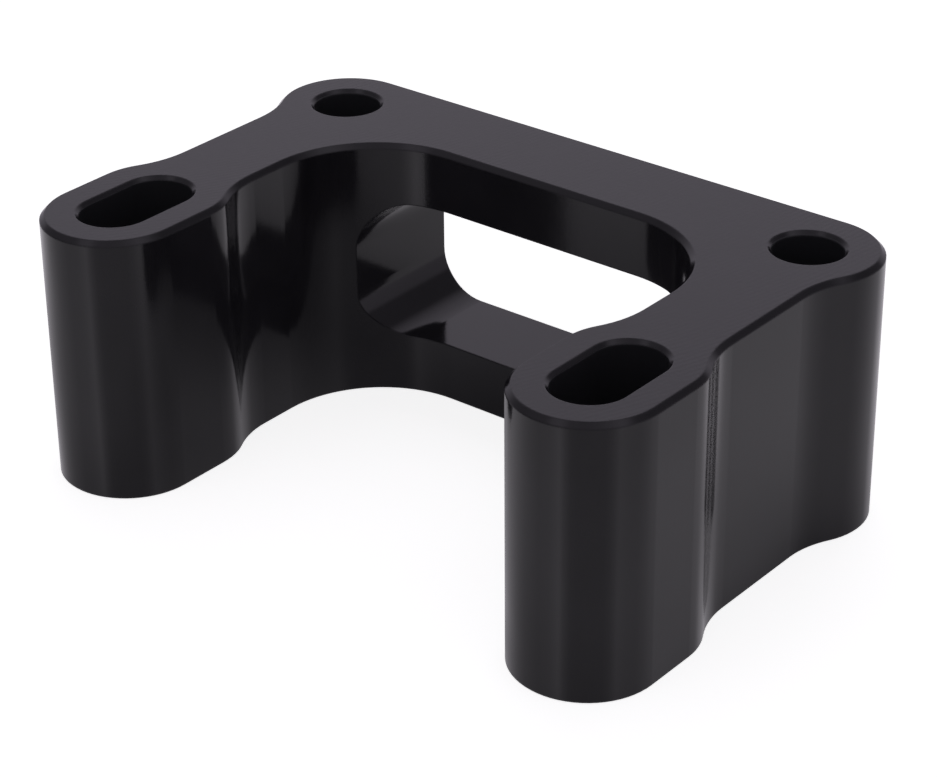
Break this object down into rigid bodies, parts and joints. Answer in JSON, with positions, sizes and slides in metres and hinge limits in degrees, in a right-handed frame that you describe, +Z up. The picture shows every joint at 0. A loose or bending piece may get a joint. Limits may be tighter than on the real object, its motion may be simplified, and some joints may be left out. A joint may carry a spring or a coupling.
{
  "type": "handlebar riser",
  "caption": "One-piece U-shaped handlebar riser block with round rear bolt holes, slotted front bolt holes and a window through its rear bar.",
  "frame": {"origin": "midway between the two rear bolt holes, on the base face", "axes": "+X from one rear bolt hole to the other, +Y towards the closed rear side of the U, +Z up along the bolts"},
  "size_m": [0.128, 0.0869, 0.05],
  "materials": {
    "anodised_aluminium": "black anodised, satin"
  },
  "bodies": {
    "root": {"riser_block": "anodised_aluminium"}
  },
  "joints": []
}
